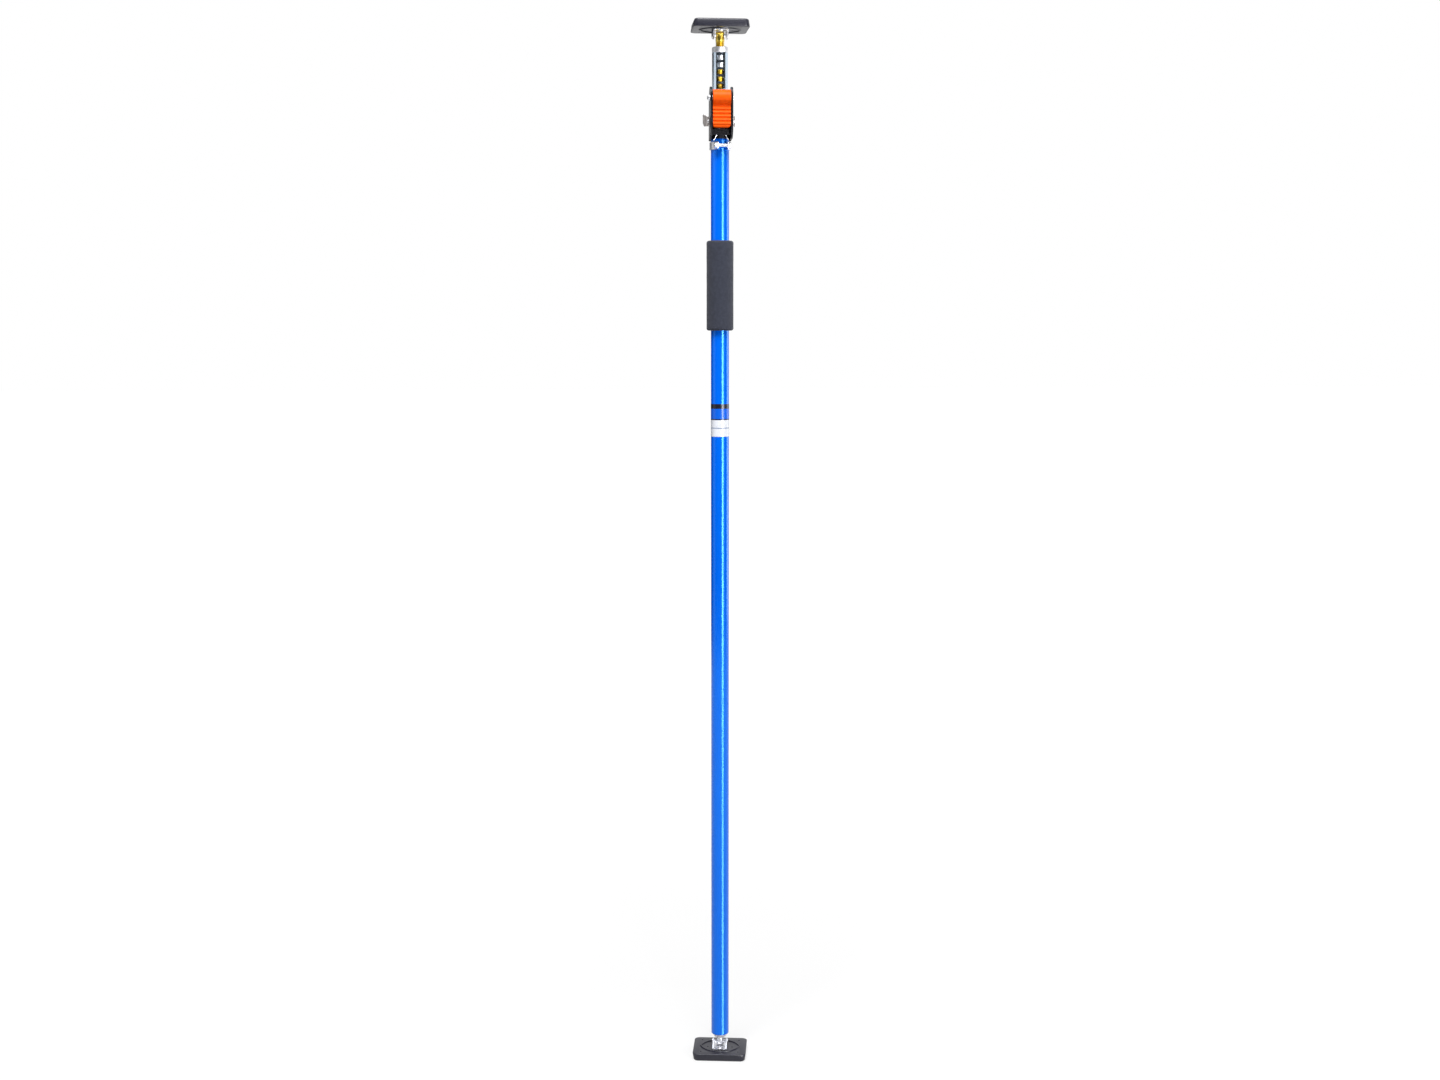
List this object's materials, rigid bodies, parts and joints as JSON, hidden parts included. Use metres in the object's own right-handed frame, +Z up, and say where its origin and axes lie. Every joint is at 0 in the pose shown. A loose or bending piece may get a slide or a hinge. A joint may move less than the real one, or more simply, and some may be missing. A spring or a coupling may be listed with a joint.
{
  "type": "telescopic support rod",
  "caption": "Telescopic support rod with a ratchet pump handle, a threaded fine adjustment, a foam hand grip and a tilting rubber pad at each end.",
  "frame": {"origin": "middle of the foot pad's floor face, on the tubes' axis", "axes": "+Z up along the tubes' axis to the top pad, -Y towards the pump handle, +X to the right seen from the handle's side"},
  "size_m": [0.0822, 0.0686, 1.45],
  "materials": {
    "blue_paint": "glossy powder coat",
    "black_paint": "satin black",
    "zinc_plate": "bright zinc plated",
    "zinc_tube": "zinc plated, drawn lengthwise",
    "yellow_zinc": "yellow passivated zinc",
    "pad_rubber": "matte moulded",
    "orange_plastic": "moulded",
    "black_plastic": "moulded",
    "white_plastic": "moulded",
    "grip_foam": "closed-cell foam"
  },
  "bodies": {
    "pole": {"outer_tube": "blue_paint", "bottom_plug": "white_plastic", "foam_grip": "grip_foam", "guide_bush": "black_plastic", "mechanism_housing": "black_paint", "handle_pivot_pin": "zinc_plate", "pivot_washer_left": "zinc_plate", "pivot_washer_right": "zinc_plate", "latch_washer_left": "zinc_plate", "latch_washer_right": "zinc_plate", "clamp_band": "zinc_plate", "clamp_bolt": "zinc_plate", "clamp_nut": "zinc_plate", "latch_spring": "zinc_plate"},
    "inner_pole": {"inner_tube": "zinc_tube", "tube_guide": "black_plastic"},
    "nut": {"adjusting_nut": "zinc_plate"},
    "screw": {"adjusting_screw": "yellow_zinc"},
    "head": {"top_yoke": "zinc_plate", "top_pad": "pad_rubber", "top_pin": "zinc_plate", "top_rivet_front": "zinc_plate", "top_rivet_back": "zinc_plate"},
    "handle": {"handle_grip": "orange_plastic", "handle_lever": "zinc_plate", "drive_pawl_pin": "zinc_plate"},
    "pawl": {"drive_pawl": "zinc_plate"},
    "latch": {"latch_shaft": "zinc_plate", "wing_left": "zinc_plate", "wing_right": "zinc_plate", "holding_pawl": "zinc_plate"},
    "stud": {"foot_stud": "zinc_plate"},
    "foot": {"foot_yoke": "zinc_plate", "foot_pad": "pad_rubber", "foot_pin": "zinc_plate", "foot_rivet_front": "zinc_plate", "foot_rivet_back": "zinc_plate"}
  },
  "joints": [
    {"name": "tube_extension", "type": "slide", "parent": "pole", "child": "inner_pole", "axis": [0, 0, 1], "range_m": [0, 1.1305]},
    {"name": "screw_travel", "type": "slide", "parent": "inner_pole", "child": "screw", "axis": [0, 0, 1], "range_m": [-0.007, 0.05]},
    {"name": "nut_turn", "type": "hinge", "parent": "inner_pole", "child": "nut", "pos_m": [0, 0, 1.412], "axis": [0, 0, 1], "range_deg": [-10290, 1445]},
    {"name": "head_tilt", "type": "hinge", "parent": "screw", "child": "head", "pos_m": [0, 0, 1.4312], "axis": [1, 0, 0], "range_deg": [-40, 40]},
    {"name": "handle_pump", "type": "hinge", "parent": "pole", "child": "handle", "pos_m": [0, -0.022, 1.34645], "axis": [1, 0, 0], "range_deg": [-70, 0], "stiffness_Nm_per_rad": 0.15, "springref_deg": 17.19},
    {"name": "pawl_tilt", "type": "hinge", "parent": "handle", "child": "pawl", "pos_m": [0, -0.01522, 1.3512], "axis": [1, 0, 0], "range_deg": [0, 70]},
    {"name": "latch_turn", "type": "hinge", "parent": "pole", "child": "latch", "pos_m": [0, -0.0132, 1.3163], "axis": [1, 0, 0], "range_deg": [-16, 0]},
    {"name": "foot_swivel", "type": "hinge", "parent": "pole", "child": "stud", "pos_m": [0, 0, 0.04], "axis": [0, 0, 1], "continuous": true},
    {"name": "foot_tilt", "type": "hinge", "parent": "stud", "child": "foot", "pos_m": [0, 0, 0.0188], "axis": [0.989, -0.1478, 0], "range_deg": [-40, 40]}
  ],
  "couplings": [
    {"joint": "nut_turn", "follows": "screw_travel", "rad_per_m": -3590.4},
    {"joint": "pawl_tilt", "follows": "handle_pump", "ratio": -1}
  ]
}
